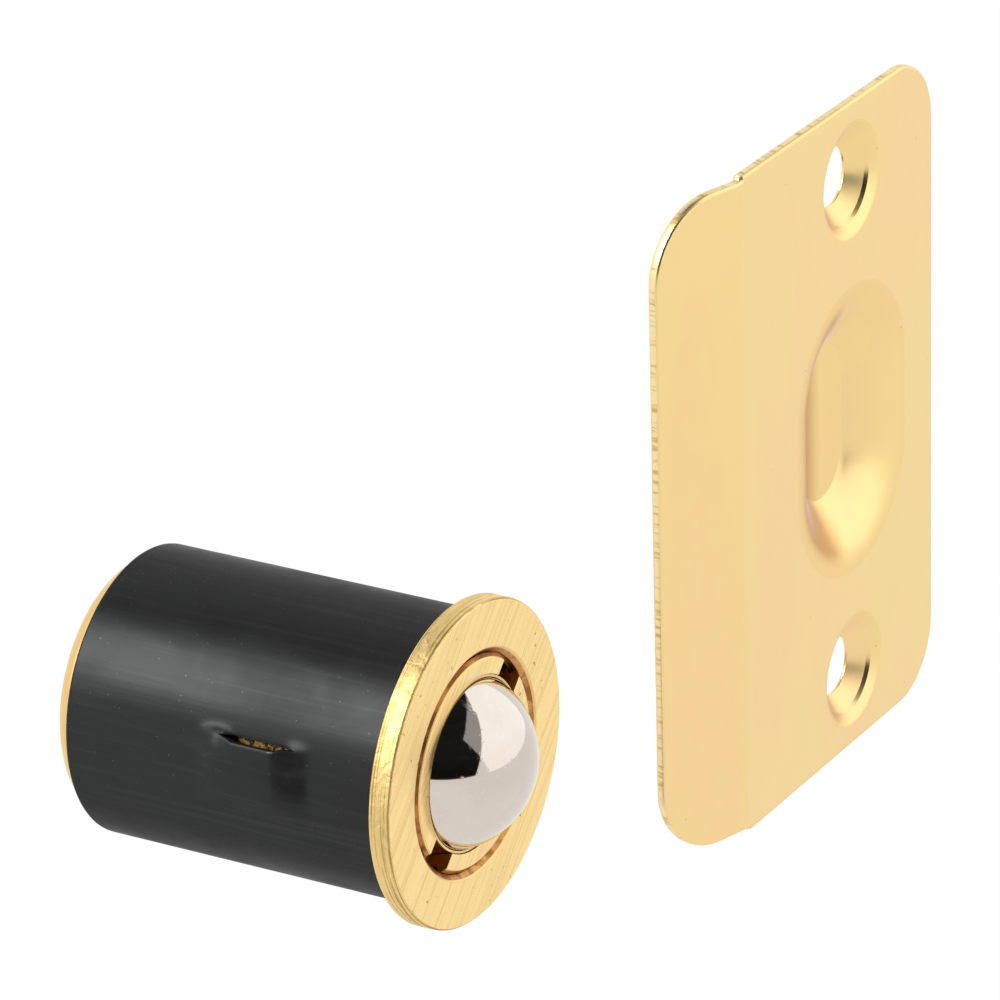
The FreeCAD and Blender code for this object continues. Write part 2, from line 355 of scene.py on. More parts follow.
platedBrass = {
    "colour": (0.925, 0.695, 0.305),
    "warmCloud": (0.945, 0.66, 0.32),
    "paleCloud": (0.925, 0.70, 0.325),
    "scratch": (0.66, 0.45, 0.18),
    # painted shade for the recess walls: its colour, a dimmer grazing reflection, and its limits in
    # depth and across the plate
    "recessShade": (0.54, 0.27, 0.09),
    "recessShadeEdgeTint": (0.95, 0.84, 0.72),
    "recessShadeDepth": (0.0286, 0.0291, 1.0, 0.0),
    "recessShadeSide": (0.0132, 0.0166, 0.8, 0.0),
    "roughness": (0.28, 0.33),
    "upright": (1.0, 1.0, 0.3),
    "wide": 85.0,
    "small": 420.0,
    "peel": 2600.0,
    "specks": {"Scale": 620.0, "Size": 0.075},
    "warmMask": (0.38, 0.62),
    "paleMask": (0.35, 0.75, 0.0, 0.6),
    "speckMask": (0.0, 1.0, 0.0, 0.6),
    "peelBump": (0.05, 0.00002),
    "wideBump": (0.12, 0.0002),
}


def satinPlatedBrass(name, recessShade):
    # the strike's soft satin plating, faintly pink and yellow in patches
    look = platedBrass
    material, tree, shader, place = newFinish(name)
    upright = turnedVector(tree, place, Scale=look["upright"])
    wide = useEffect(tree, "softMottle", upright, Scale=look["wide"])
    small = useEffect(tree, "softMottle", place, Scale=look["small"])
    peel = useEffect(tree, "softMottle", place, Scale=look["peel"])
    specks = useEffect(tree, "dustSpecks", place, **look["specks"])
    warm = ramp(tree, wide["Cloud"], *look["warmMask"])
    pale = ramp(tree, small["Cloud"], *look["paleMask"])
    faint = ramp(tree, specks["Mask"], *look["speckMask"])
    colour = blendColour(tree, warm, look["colour"], look["warmCloud"])
    colour = blendColour(tree, pale, colour, look["paleCloud"])
    colour = blendColour(tree, faint, colour, look["scratch"])
    if recessShade:
        # painted shade: a darker, browner tone on the recess walls, deep down and on the side nearest
        # the lip, standing in for the shade of the plate's reflection of itself
        spot = feed(tree, put(tree, "ShaderNodeSeparateXYZ"), Vector=place)
        deep = ramp(tree, spot["X"], *look["recessShadeDepth"])
        near = ramp(tree, spot["Y"], *look["recessShadeSide"])
        recessShadeMask = combine(tree, "MULTIPLY", deep, near)
        colour = blendColour(tree, recessShadeMask, colour, look["recessShade"])
        # a dimmer, warmer reflection at grazing angles deepens the same painted shade
        feed(tree, shader, Specular_Tint=look["recessShadeEdgeTint"])
    rough = ramp(tree, small["Cloud"], *noiseSpan, *look["roughness"])
    grain = bumpFrom(tree, peel["Cloud"], *look["peelBump"])
    normal = bumpFrom(tree, wide["Cloud"], *look["wideBump"], Normal=grain)
    feed(tree, shader, Base_Color=colour, Roughness=rough, Normal=normal, Metallic=1.0)
    return material


shearedBrass = {
    "colour": (0.93, 0.74, 0.40),
    "drag": (0.70, 0.45, 0.16),
    "hatchTurn": (0.0, 0.1, 0.25),
    "hatch": {"Density": 2300.0, "Stretch": 14.0},
    "dragMask": (0.5, 0.64),
    "roughness": (0.2, 0.8, 0.28, 0.5),
    "bump": (0.25, 0.00006),
}


def shearedEdgeBrass():
    # the cut rim of the sheet, hatched by the shear
    look = shearedBrass
    material, tree, shader, place = newFinish("shearedEdgeBrass")
    lean = turnedVector(tree, place, Rotation=look["hatchTurn"])
    hatch = useEffect(tree, "brushedLines", lean, **look["hatch"])["Lines"]
    colour = blendColour(tree, ramp(tree, hatch, *look["dragMask"]), look["colour"], look["drag"])
    feed(tree, shader, Base_Color=colour, Roughness=ramp(tree, hatch, *look["roughness"]),
         Normal=bumpFrom(tree, hatch, *look["bump"]), Metallic=1.0)
    return material


faceBrass = {
    "colour": (0.985, 0.735, 0.32),
    "lineShade": (0.76, 0.46, 0.16),
    "scratch": (0.34, 0.19, 0.06),
    "brushTurn": math.radians(-45),
    "brush": {"Density": 3900.0, "Stretch": 90.0},
    "scratches": {"Scale": 900.0, "Limit": 0.73},
    "patches": 150.0,
    "lineMask": (0.42, 0.74, 0.0, 0.6),
    "patchMask": (0.4, 0.65),
    "roughness": (0.2, 0.32),
    "lineBump": (0.22, 0.00003),
    "scratchBump": (0.4, 0.00002),
}


def brushedFaceBrass():
    # flange and ring faces, brushed straight across with a few deeper scratches
    look = faceBrass
    material, tree, shader, place = newFinish("brushedFaceBrass")
    # the vector is turned about X and then about Z, so its X runs along the marks
    turned = turnedVector(tree, place, Rotation=(look["brushTurn"], 0, 0))
    swapped = turnedVector(tree, turned, Rotation=(0, 0, math.radians(-90)))
    lines = useEffect(tree, "brushedLines", swapped, **look["brush"])
    marks = useEffect(tree, "hairScratches", place, **look["scratches"])
    cloud = useEffect(tree, "softMottle", place, Scale=look["patches"])
    shade = ramp(tree, lines["Lines"], *look["lineMask"])
    patches = ramp(tree, cloud["Cloud"], *look["patchMask"])
    worn = combine(tree, "MULTIPLY", marks["Mask"], patches)
    colour = blendColour(tree, shade, look["colour"], look["lineShade"])
    colour = blendColour(tree, worn, colour, look["scratch"])
    rough = ramp(tree, lines["Coarse"], *noiseSpan, *look["roughness"])
    fineBump = bumpFrom(tree, lines["Lines"], *look["lineBump"])
    normal = bumpFrom(tree, worn, *look["scratchBump"], Normal=fineBump)
    feed(tree, shader, Base_Color=colour, Roughness=rough, Normal=normal, Metallic=1.0)
    return material


latheBrass = {
    "colour": (0.88, 0.60, 0.25),
    "mark": (0.70, 0.44, 0.15),
    "roughness": (0.24, 0.4),
    "squeeze": (6500.0, 90.0, 90.0),
    "noise": (1.0, 2.0, 0.5),
    "markMask": (0.45, 0.7, 0.0, 0.6),
    "markBump": (0.2, 0.00002),
    "clouds": 180.0,
    "dentBump": None,
}


rimBrass = {
    "colour": (0.93, 0.70, 0.30),
    "mark": (0.50, 0.27, 0.08),
    "roughness": (0.45, 0.62),
    "squeeze": (4600.0, 70.0, 70.0),
    "noise": (1.0, 3.0, 0.6),
    "markMask": (0.5, 0.66, 0.0, 0.85),
    "markBump": (0.4, 0.00006),
    "clouds": 900.0,
    "dentBump": (0.5, 0.0003),
}


def ringMarkedBrass(name, look):
    # marks that run round the axis: fine tool marks, or dark streaks on a dinged rim
    material, tree, shader, place = newFinish(name)
    squeezed = turnedVector(tree, place, Scale=look["squeeze"])
    marks = noiseOn(tree, squeezed, *look["noise"])
    cloud = useEffect(tree, "softMottle", place, Scale=look["clouds"])["Cloud"]
    colour = blendColour(tree, ramp(tree, marks, *look["markMask"]), look["colour"], look["mark"])
    rough = ramp(tree, cloud, *noiseSpan, *look["roughness"])
    normal = bumpFrom(tree, marks, *look["markBump"])
    if look["dentBump"]:
        normal = bumpFrom(tree, cloud, *look["dentBump"], Normal=normal)
    feed(tree, shader, Base_Color=colour, Roughness=rough, Normal=normal, Metallic=1.0)
    return material


# dark orange brass with darker patches: old grease on the threads, and painted shade where it lines
# the ring's outer bevel in the gap beside the flange
greaseAndShadeThread = {
    "colour": (0.62, 0.27, 0.07),
    "patch": (0.26, 0.09, 0.02),
    "patches": 380.0,
    "patchMask": (0.4, 0.62),
    "roughness": (0.3, 0.55),
    "bump": (0.3, 0.00003),
    "metallic": 0.8,
}
# painted shade: darker, coppery brass for the case's mouth, the gap between flange and ring
mouthBrass = dict(greaseAndShadeThread, colour=(0.70, 0.36, 0.11), patch=(0.34, 0.13, 0.03),
                  patches=700.0, roughness=(0.25, 0.45))
# painted shade: the barrel is seen only through the slits, so its brass is darker and broken by
# near-black patches
shadedBarrel = dict(greaseAndShadeThread, colour=(0.74, 0.46, 0.17), patch=(0.06, 0.03, 0.012),
                    patches=3000.0, roughness=(0.3, 0.5))
springSteel = dict(greaseAndShadeThread, colour=(0.42, 0.42, 0.43), patch=(0.22, 0.21, 0.2),
                   patches=500.0, patchMask=(0.42, 0.66), roughness=(0.22, 0.4),
                   bump=(0.2, 0.00002), metallic=1.0)


def greaseAndShadeMetal(name, look):
    # threads, gaps, the hidden barrel and the spring, darkened in cloudy patches: old grease on
    # threads and spring; in the case's mouth and on the barrel the darker colour is painted shade
    material, tree, shader, place = newFinish(name)
    cloud = useEffect(tree, "softMottle", place, Scale=look["patches"])
    patches = ramp(tree, cloud["Cloud"], *look["patchMask"])
    colour = blendColour(tree, patches, look["colour"], look["patch"])
    rough = ramp(tree, cloud["Grain"], *noiseSpan, *look["roughness"])
    normal = bumpFrom(tree, cloud["Grain"], *look["bump"])
    feed(tree, shader, Base_Color=colour, Roughness=rough, Normal=normal,
         Metallic=look["metallic"])
    return material


blackFinish = {
    "colour": (0.036, 0.0368, 0.037),
    "rubbed": (0.046, 0.0467, 0.0467),
    "edgeTint": (0.17, 0.17, 0.168),
    "speck": (0.10, 0.095, 0.09),
    "roughness": (0.30, 0.42),
    "drawn": {"Density": 1700.0, "Stretch": 45.0},
    "specks": {"Scale": 2300.0, "Size": 0.13},
    "clouds": 140.0,
    "rubbedMask": (0.45, 0.75),
    "grainBump": (0.15, 0.00002),
    "drawnBump": (0.07, 0.00006),
    "metallic": 0.55,
    "shine": 0.35,
}
# lighter black for the slit lips: partly rubbed wear, partly a painted highlight for the bright line
# along each lip
wornAndLitLipBlack = dict(blackFinish, colour=(0.085, 0.084, 0.08), rubbed=(0.16, 0.155, 0.14),
                 edgeTint=(0.24, 0.24, 0.24), speck=(0.32, 0.27, 0.18), roughness=(0.28, 0.4))


def blackOxide(name, look):
    # satin black of the sleeve, drawn lengthwise, with a few pale specks
    material, tree, shader, place = newFinish(name)
    drawn = useEffect(tree, "brushedLines", place, **look["drawn"])
    specks = useEffect(tree, "dustSpecks", place, **look["specks"])
    cloud = useEffect(tree, "softMottle", place, Scale=look["clouds"])
    rubbed = ramp(tree, drawn["Lines"], *look["rubbedMask"])
    colour = blendColour(tree, rubbed, look["colour"], look["rubbed"])
    colour = blendColour(tree, specks["Mask"], colour, look["speck"])
    rough = ramp(tree, cloud["Cloud"], *noiseSpan, *look["roughness"])
    fineBump = bumpFrom(tree, cloud["Grain"], *look["grainBump"])
    normal = bumpFrom(tree, drawn["Coarse"], *look["drawnBump"], Normal=fineBump)
    feed(tree, shader, Base_Color=colour, Roughness=rough, Normal=normal,
         Metallic=look["metallic"], Specular_IOR_Level=look["shine"],
         Specular_Tint=look["edgeTint"])
    return material


ballChrome = {
    "colour": (0.66, 0.595, 0.535),
    "cloud": (0.635, 0.565, 0.50),
    "scratch": (0.72, 0.66, 0.60),
    "roughness": (0.06, 0.14),
    "fine": {"Scale": 1500.0, "Limit": 0.66},
    "few": {"Scale": 600.0, "Limit": 0.72},
    "haze": 260.0,
    "hazeMask": (0.35, 0.65),
    "scratchMask": (0.0, 1.0, 0.0, 0.3),
    "bump": (0.15, 0.00001),
}


def polishedChrome():
    # bright ball with fine hairline scratches from use
    look = ballChrome
    material, tree, shader, place = newFinish("polishedChrome")
    fine = useEffect(tree, "hairScratches", place, **look["fine"])
    few = useEffect(tree, "hairScratches", place, **look["few"])
    haze = useEffect(tree, "softMottle", place, Scale=look["haze"])
    scratches = combine(tree, "MAXIMUM", fine["Mask"], few["Mask"])
    cloudy = ramp(tree, haze["Cloud"], *look["hazeMask"])
    faint = ramp(tree, scratches, *look["scratchMask"])
    colour = blendColour(tree, cloudy, look["colour"], look["cloud"])
    colour = blendColour(tree, faint, colour, look["scratch"])
    feed(tree, shader, Base_Color=colour, Metallic=1.0,
         Roughness=ramp(tree, scratches, 0.0, 1.0, *look["roughness"]),
         Normal=bumpFrom(tree, scratches, *look["bump"]))
    return material


finishes = {
    "plated": satinPlatedBrass("satinPlatedBrass", False),
    # a copy of the plating with painted shade, for the walls of the pocket and holes
    "recessShade": satinPlatedBrass("paintedRecessShadeBrass", True),
    "sheared": shearedEdgeBrass(),
    "face": brushedFaceBrass(),
    "turned": ringMarkedBrass("turnedBrass", latheBrass),
    "rim": ringMarkedBrass("streakedRimBrass", rimBrass),
    "thread": greaseAndShadeMetal("greaseAndShadeThreadBrass", greaseAndShadeThread),
    "mouth": greaseAndShadeMetal("copperyMouthBrass", mouthBrass),
    "barrel": greaseAndShadeMetal("shadedBarrelBrass", shadedBarrel),
    "black": blackOxide("blackOxide", blackFinish),
    # lighter black for the slit lips, wear with a painted highlight
    "worn": blackOxide("wornAndLitBlackEdge", wornAndLitLipBlack),
    "chrome": polishedChrome(),
    "spring": greaseAndShadeMetal("drawnSpringSteel", springSteel),
}
print("finishes mixed")


def addFinishes(piece, *names):
    for name in names:
        piece.data.materials.append(finishes[name])


def paintFaces(name, test):
    # gives the faces that pass the test one of the piece's finishes
    pickFaces(test)
    piece = bpy.context.object
    piece.active_material_index = piece.material_slots.find(finishes[name].name)
    bpy.ops.object.material_slot_assign()


# the case: flange, threaded bore and rounded tail, all in one turning

caseSizes = {
    "sides": 192,
    "flangeFace": 2.0,
    "flangeRadius": 14.2875,
    "flangeEdge": 0.28,
    "flangeBackEdge": 0.15,
    "flangeBand": 0.5,
    "seatRadius": 12.7,
    "seatDepth": 0.3,
    "barrelRadius": 11.75,
    "back": -32.95,
    "tailRound": 2.0,
    "mouthRadius": 10.1075,
    "mouthEdge": 0.12,
    "lipX": 1.84,
    "lipWidth": 0.16,
    "stepX": (1.45, 1.2),
    "boreRadius": 9.5575,
    "threadRoot": 9.93,
    "threadStart": 0.95,
    "threadEnd": -4.4,
    "threadRunOut": 0.4,
    "greaseLength": 3.0,
    "floor": -31.35,
    "floorRound": 1.0,
}


def barrelCase():
    size = caseSizes
    face, rim, mouth = size["flangeFace"], size["flangeRadius"], size["mouthRadius"]
    back, barrel, seat = size["back"], size["barrelRadius"], -size["seatDepth"]
    floor, bore, root = size["floor"], size["boreRadius"], size["threadRoot"]
    stepFront, stepBack = size["stepX"]
    start = (back, barrel - size["tailRound"])
    piece = startTurning("barrelCase", size["sides"], *start, filled=True)
    outside = [(back, barrel), (seat, barrel), (seat, size["seatRadius"]),
               (0.0, size["seatRadius"]), (0.0, rim), (face, rim)]
    inside = [(face, mouth), (size["lipX"], mouth - size["lipWidth"]), (stepFront, bore),
              (stepBack, bore), (size["threadStart"], root),
              (size["threadEnd"] + size["threadRunOut"], root), (size["threadEnd"], bore),
              (floor, bore), (floor, bore / 2)]
    turnThrough(outside + inside, start)
    closeCentre()
    closeRound()
    for x, radius, offset, steps in (
            (back, barrel, size["tailRound"] - 0.02, 8), (0.0, rim, size["flangeBackEdge"], 3),
            (face, rim, size["flangeEdge"], 4), (face, mouth, size["mouthEdge"], 3),
            (floor, bore, size["floorRound"], 5)):
        roundTurnedEdge(x, radius, offset, steps)
    addFinishes(piece, "turned", "face", "thread", "rim", "mouth", "barrel")
    paintFaces("face", lambda at, way: at.x > face - 0.02 and way.x > 0.9)
    # painted shade on the barrel under the sleeve, seen only through the slits
    paintFaces("barrel", lambda at, way: back + size["tailRound"] < at.x < seat
               and abs(way.x) < 0.1 and radiusOf(at) > barrel - 0.1)
    # painted shade in the case's mouth, the gap between flange and ring
    paintFaces("mouth", lambda at, way: stepFront < at.x < size["lipX"] and radiusOf(at) < mouth)
    paintFaces("rim", lambda at, way: at.x > 0.0 and way.x < 0.9
               and radiusOf(at) > rim - size["flangeBand"])
    paintFaces("thread", lambda at, way: radiusOf(at) < mouth - 0.05
               and size["threadEnd"] - size["greaseLength"] < at.x < stepFront + 0.01)
    finishPiece(piece, "case", ["flanged_case"])


threadSizes = {
    "pitch": 0.8,
    "sides": 96,
    "turns": 5.6,
    "front": 0.6,
    "crest": 9.58,
    "root": 9.96,
    "halfWidth": 0.288,
}


def caseThread():
    # one helical ridge: a small triangle swept round the axis by a screw modifier
    size = threadSizes
    clearSelection()
    front, half = size["front"], size["halfWidth"]
    bpy.ops.mesh.primitive_circle_add(
        vertices=3, radius=half * mm, location=(front * mm, size["crest"] * mm, 0),
        fill_type="NGON")
    piece = openPiece("caseThread")
    points = bmesh.from_edit_mesh(piece.data).verts
    corners = [(front, size["crest"]), (front - half, size["root"]), (front + half, size["root"])]
    for point, (x, y) in zip(points, corners):
        point.co = Vector((x, y, 0)) * mm
    showPicked()
    steps = int(size["sides"] * size["turns"])
    applyModifier("SCREW", axis="X", angle=2 * math.pi * size["turns"],
                  screw_offset=-size["pitch"] * size["turns"] * mm,
                  steps=steps, render_steps=steps, use_merge_vertices=False)
    selectAll()
    bpy.ops.mesh.fill_holes(sides=3)
    closeRound()
    addFinishes(piece, "thread")
    finishPiece(piece, "case", [])


# the adjusting ring: coned mouth, two slots and a threaded outside

ringSizes = {
    "sides": 192,
    "face": 1.9,
    "back": -3.1,
    "boreRadius": 8.5275,
    "coneStart": -0.6375,
    "mouthRadius": 7.71,
    "mouthEdge": 0.06,
    "outerRadius": 9.4775,
    "rootRadius": 9.12,
    "bevel": 0.4,
    "brightBevel": 0.12,
    "faceEdge": 0.05,
    "plainFront": 0.25,
    "plainBack": 0.3,
    "groove": (0.0, 0.4, 0.5, 0.9),
    "slotWidth": 3.5,
    "slotDepth": 2.3,
    "slotTurn": 44.0,
    "slotRound": 0.45,
    "slotMiddle": 8.6,
    "slotReach": 4.0,
    "slotProud": 1.0,
}


def adjustingRing():
    size = ringSizes
    face, back, bore, outer = (size[key] for key in ("face", "back", "boreRadius", "outerRadius"))
    bevel, bright, root = size["bevel"], size["brightBevel"], size["rootRadius"]
    pitch = threadSizes["pitch"]
    start = (back, bore)
    piece = startTurning("adjustingRing", size["sides"], *start)
    stations = [(size["coneStart"], bore), (face, size["mouthRadius"]), (face, outer - bevel),
                (face - bright, outer - bevel + bright), (face - bevel, outer)]
    x = face - bevel - size["plainFront"]
    while x - pitch > back + size["plainBack"]:
        # each thread is a narrow groove between two crests
        for share, radius in zip(size["groove"], (outer, root, root, outer)):
            stations.append((x - pitch * share, radius))
        x -= pitch
    turnThrough(stations + [(back, outer), start], start)
    closeRound()
    roundTurnedEdge(face, size["mouthRadius"], size["mouthEdge"], 3)
    roundTurnedEdge(face, outer - bevel, size["faceEdge"], 2)
    addFinishes(piece, "turned", "face", "thread")
    paintFaces("face", lambda at, way: at.x > face - 0.05 and way.x > 0.9)
    # the thread finish also takes the outer part of the face bevel: painted shade in the gap beside
    # the flange
    paintFaces("thread", lambda at, way: radiusOf(at) > outer - 0.5 and at.x < face - bright)
    for turn in (size["slotTurn"], size["slotTurn"] + 180):
        cutter = slotCutter(turn)
        chooseOnly(piece)
        applyModifier("BOOLEAN", operation="DIFFERENCE", object=cutter, solver="EXACT")
        bpy.data.objects.remove(cutter, do_unlink=True)
    finishPiece(piece, "ring", ["adjusting_ring"])


def slotCutter(turn):
    # block that cuts one slot: proud of the face, its two lower corners rounded
    size = ringSizes
    clearSelection()
    deep, proud = size["slotDepth"], size["slotProud"]
    middle = ((size["face"] + (proud - deep) / 2) * mm, size["slotMiddle"] * mm, 0)
    bpy.ops.mesh.primitive_cube_add(size=mm, location=middle)
    cutter = openPiece("slotCutter")
    selectAll()
    bpy.ops.transform.resize(value=(deep + proud, size["slotReach"], size["slotWidth"]),
                             center_override=middle)
    floor = size["face"] - deep + 0.01
    pickEdges(lambda point: point.x < floor, lambda a, b: abs(a.y - b.y) > 1)
    bpy.ops.mesh.bevel(offset=size["slotRound"] * mm, segments=4, affect="EDGES")
    bpy.ops.object.mode_set(mode="OBJECT")
    cutter.data.transform(Matrix.Rotation(math.radians(turn), 4, "X"))
    addFinishes(cutter, "thread")
    return cutter


# the cup that holds the ball, with its thin rolled lip

cupSizes = {
    "sides": 160,
    "ballX": -1.0875,
    "bore": 7.9975,
    "outer": 8.4475,
    "lipTip": 1.78,
    "lipSteps": 8,
    "tipWall": 0.2,
    "coneBack": -0.6375,
    "shoulderFront": -3.18,
    "shoulderBack": -3.98,
    "shoulderRadius": 9.4775,
    "back": -20.3,
    "backEdge": 0.3,
    "floor": -19.1,
    "floorRound": 0.8,
    "middleRadius": 3.0,
}


def ballCup():
    size = cupSizes
    back, floor, outer, tip = (size[key] for key in ("back", "floor", "outer", "lipTip"))
    front, behind = size["shoulderFront"], size["shoulderBack"]
    start = (back, size["middleRadius"])
    piece = startTurning("ballCup", size["sides"], *start, filled=True)

    def boreAt(x):
        return math.sqrt(size["bore"] ** 2 - (x - size["ballX"]) ** 2)
    outside = [(back, outer), (behind, outer), (behind, size["shoulderRadius"]),
               (front, size["shoulderRadius"]), (front, outer), (size["coneBack"], outer),
               (tip, boreAt(tip) + size["tipWall"])]
    lip = [tip + (size["ballX"] - tip) * i / size["lipSteps"] for i in range(size["lipSteps"] + 1)]
    inside = [(floor, size["bore"]), (floor, size["middleRadius"])]
    turnThrough(outside + [(x, boreAt(x)) for x in lip] + inside, start)
    closeCentre()
    closeRound()
    roundTurnedEdge(floor, size["bore"], size["floorRound"], 4)
    roundTurnedEdge(back, outer, size["backEdge"], 3)
    addFinishes(piece, "turned", "thread")
    paintFaces("thread", lambda at, way: at.x < front + 0.1 and way.x < 0.5)
    finishPiece(piece, "cup", ["ball_cup"])


# the ball

ballSizes = {"radius": 7.9375, "x": -1.0875, "cuts": 23, "firstCube": 1.2}


def catchBall():
    # a cube cut into small squares and pushed out to a sphere
    size = ballSizes
    clearSelection()
    radius = size["radius"] * mm
    bpy.ops.mesh.primitive_cube_add(size=radius * size["firstCube"], location=(0, 0, 0))
    piece = openPiece("catchBall")
    selectAll()
    bpy.ops.mesh.subdivide(number_cuts=size["cuts"])
    sphere = {"cast_type": "SPHERE", "factor": 1.0, "size": radius, "use_radius_as_size": False}
    applyModifier("CAST", radius=radius, **sphere)
    applyModifier("SUBSURF", levels=1, render_levels=1)
    applyModifier("CAST", **sphere)
    selectAll()
    bpy.ops.transform.translate(value=(size["x"] * mm, 0, 0))
    addFinishes(piece, "chrome")
    finishPiece(piece, "ball", ["ball"], angle=60)


# the spring behind the ball

springSizes = {"wire": 0.6, "coil": 5.2, "turns": 5.5, "back": -18.4, "front": -7.9845,
               "wireSides": 12, "sidesPerTurn": 40, "travel": 4.8}


def ballSpring():
    # a round wire section swept by a screw modifier, its two ends capped
    size = springSizes
    clearSelection()
    bpy.ops.mesh.primitive_circle_add(
        vertices=size["wireSides"], radius=size["wire"] * mm,
        location=(size["back"] * mm, size["coil"] * mm, 0), fill_type="NOTHING")
    piece = openPiece("ballSpring")
    steps = int(size["sidesPerTurn"] * size["turns"])
    applyModifier("SCREW", axis="X", angle=2 * math.pi * size["turns"],
                  screw_offset=(size["front"] - size["back"]) * mm, steps=steps, render_steps=steps)
    selectAll()
    bpy.ops.mesh.fill_holes(sides=0)
    closeRound()
    addFinishes(piece, "spring")
    finishPiece(piece, "cup", ["ball_spring"], angle=50)
    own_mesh(piece)


# the black sleeve with its lanced barbs

sleeveSizes = {
    "sides": 240,
    "front": -0.3,
    "back": -30.9,
    "radius": 12.7,
    "wall": 0.9,
    "edge": 0.3,
    "slitTurn": 160.5,
    "hingeTurn": 192.0,
    "slitEnds": (-8.35, -15.4),
    "slitEdge": 0.16,
    "slitOpens": 1.7,
    "openLength": 1.4,
    "lift": 1.15,
    "liftFades": 1.7,
    "shoulders": (-6.4, -10.3, -15.4, -18.4),
    "shoulderSteps": 8,
    "frontRings": (-3.0,),
    "padRings": (-12.3, -13.9, -14.5, -15.0),
    "backRings": (-21.0, -26.0),
    "bulge": 3.8,
    "bulgeLength": 0.9,
    "pinch": 0.5,
    "pinchTurn": 9.0,
    "pinchLength": 1.6,
    # the lighter lip finish, wear with a painted highlight, keeps this far from each slit end
    "wornAndLitLength": 1.7,
}


def turnOf(point):
    return math.degrees(math.atan2(point.z, point.y)) % 360


def clamped(value):
    return min(max(value, 0.0), 1.0)


def outerSleeve():
    size = sleeveSizes
    start = (size["front"], size["radius"])
    piece = startTurning("outerSleeve", size["sides"], *start)
    rise, padFront, padBack, fall = size["shoulders"]

    def between(first, last):
        steps = size["shoulderSteps"]
        return [first + (last - first) * i / steps for i in range(steps + 1)]
    stations = [*size["frontRings"], *between(rise, padFront), *size["padRings"],
                *between(padBack, fall), *size["backRings"], size["back"]]
    turnThrough([(x, size["radius"]) for x in stations], start)
    selectAll()
    bpy.ops.mesh.normals_make_consistent(inside=False)
    for side in (0, 180):
        liftBarb(side)
    applyModifier("SOLIDIFY", thickness=size["wall"] * mm, offset=-1.0, use_even_offset=True,
                  use_quality_normals=True, use_rim=True)
    selectAll()
    roundTurnedEdge(size["back"], size["radius"], size["edge"], 4)
    softenSlits()
    addFinishes(piece, "black", "worn")
    # lighter black along the slit lips: rubbed wear and a painted highlight
    paintFaces("worn", isWornAndLitLip)
    finishPiece(piece, "case", ["outer_sleeve"], angle=38)


def riseAlong(x):
    # how far the flap is lifted at this place along the barrel, from 0 to 1
    rise, padFront, padBack, fall = sleeveSizes["shoulders"]
    share = 1.0
    if x > padFront:
        share = (rise - x) / (rise - padFront)
    elif x < padBack:
        share = (x - fall) / (padBack - fall)
    return 0.5 - 0.5 * math.cos(clamped(share) * math.pi)


def insideSlit(x):
    # distance from the nearer end of the slit, negative outside it
    front, back = sleeveSizes["slitEnds"]
    return min(front - x, x - back)


def pinchAt(inside, away):
    # the flap dips back to the wall near the ends of its slit
    size = sleeveSizes
    near = clamped(1.0 - abs(away) / size["pinchTurn"])
    return 1.0 - size["pinch"] * near * (1.0 - clamped(inside / size["pinchLength"]))


def liftBarb(side):
    # splits the wall along the slit and pushes the flap out, most at the slit
    size = sleeveSizes
    slit = (size["slitTurn"] + side) % 360
    span = size["hingeTurn"] - size["slitTurn"]
    near = 0.3  # degrees within which a point lies on the slit
    pickEdges(lambda point: abs(turnOf(point) - slit) < near and insideSlit(point.x) > -0.01)
    bpy.ops.mesh.edge_split(type="EDGE")
    mesh = bmesh.from_edit_mesh(bpy.context.object.data)
    moved = []
    for point in mesh.verts:
        at = point.co / mm
        away = (turnOf(at) - slit + 180) % 360 - 180
        inside = insideSlit(at.x)
        share = riseAlong(at.x) * pinchAt(inside, away)
        if riseAlong(at.x) == 0.0 or away > span or away < -size["bulge"]:
            continue
        onSlit = away > -near and (inside < 0.01 or onFlapSide(point, slit))
        if away > near or onSlit:
            share *= 1.0 - (max(away, 0.0) / span) ** size["liftFades"]
            opening = clamped(inside / size["openLength"])
        else:
            # past the slit's ends the wall above bulges with the flap
            share *= max(1.0 - max(inside, 0.0) / size["bulgeLength"], 0.0)
            share *= (1.0 - abs(away) / size["bulge"]) ** 2
            opening = 0.0
        moved.append((point, size["lift"] * share, size["slitOpens"] * share * opening))
    for point, lift, turn in moved:
        reach = radiusOf(point.co)
        away = Matrix.Rotation(math.radians(turn), 3, "X") @ Vector((0, point.co.y, point.co.z))
        away *= (reach + lift * mm) / reach
        point.co = Vector((point.co.x, away.y, away.z))
    showPicked()


def onFlapSide(point, slit):
    # true for the copy of a slit point whose faces lie on the flap
    return all((turnOf(face.calc_center_median() / mm) - slit) % 360 <= 180
               for face in point.link_faces)


def nearSlit(point):
    # within the slit's length and a few degrees of either slit
    size = sleeveSizes
    away = (turnOf(point) - size["slitTurn"] + 90) % 180 - 90
    return insideSlit(point.x) > -0.05 and -1.0 < away < size["slitOpens"] + 1.0


def softenSlits():
    # small bevel along both lips of each slit
    bpy.ops.mesh.select_mode(type="EDGE")
    bpy.ops.mesh.select_all(action="DESELECT")
    bpy.ops.mesh.edges_select_sharp(sharpness=math.radians(60))
    mesh = bmesh.from_edit_mesh(bpy.context.object.data)
    for edge in mesh.edges:
        first, last = (point.co / mm for point in edge.verts)
        if edge.select:
            lengthwise = abs(first.x - last.x) > 0.05
            edge.select_set(nearSlit(first) and nearSlit(last) and lengthwise)
    showPicked()
    bpy.ops.mesh.bevel(offset=sleeveSizes["slitEdge"] * mm, segments=2, affect="EDGES",
                       clamp_overlap=True)


